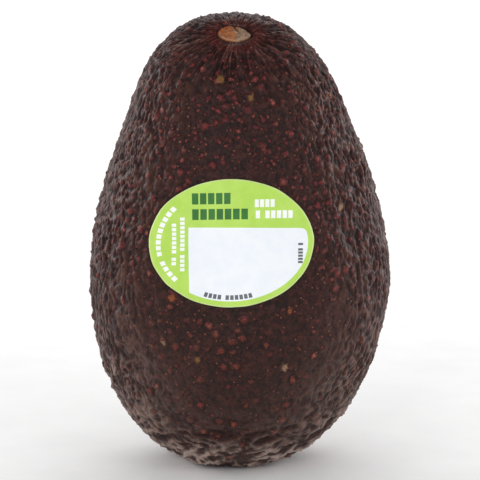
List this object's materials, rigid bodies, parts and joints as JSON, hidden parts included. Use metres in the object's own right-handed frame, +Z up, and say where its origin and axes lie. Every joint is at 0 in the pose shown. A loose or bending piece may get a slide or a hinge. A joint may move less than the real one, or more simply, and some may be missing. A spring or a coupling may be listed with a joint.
{
  "type": "avocado",
  "caption": "Whole ripe Hass-type avocado, dark pebbled skin, woody stalk stub in the top and an oval label on the front; stands on a small flat spot.",
  "frame": {"origin": "on the ground under the middle of the fruit, at the bottom centre of its bounding box", "axes": "+Z up along the fruit towards its stem end, -Y towards the label, +X to the right as seen facing the label"},
  "size_m": [0.072, 0.0711, 0.1094],
  "materials": {
    "skin": "avocado skin, dark purple-brown, pebbled, half gloss",
    "stem": "dry woody stalk end, matt",
    "label": "printed film sticker, lime green with a white panel, satin"
  },
  "bodies": {
    "root": {"fruit": "skin", "stem_button": "stem", "label": "label"}
  },
  "joints": []
}
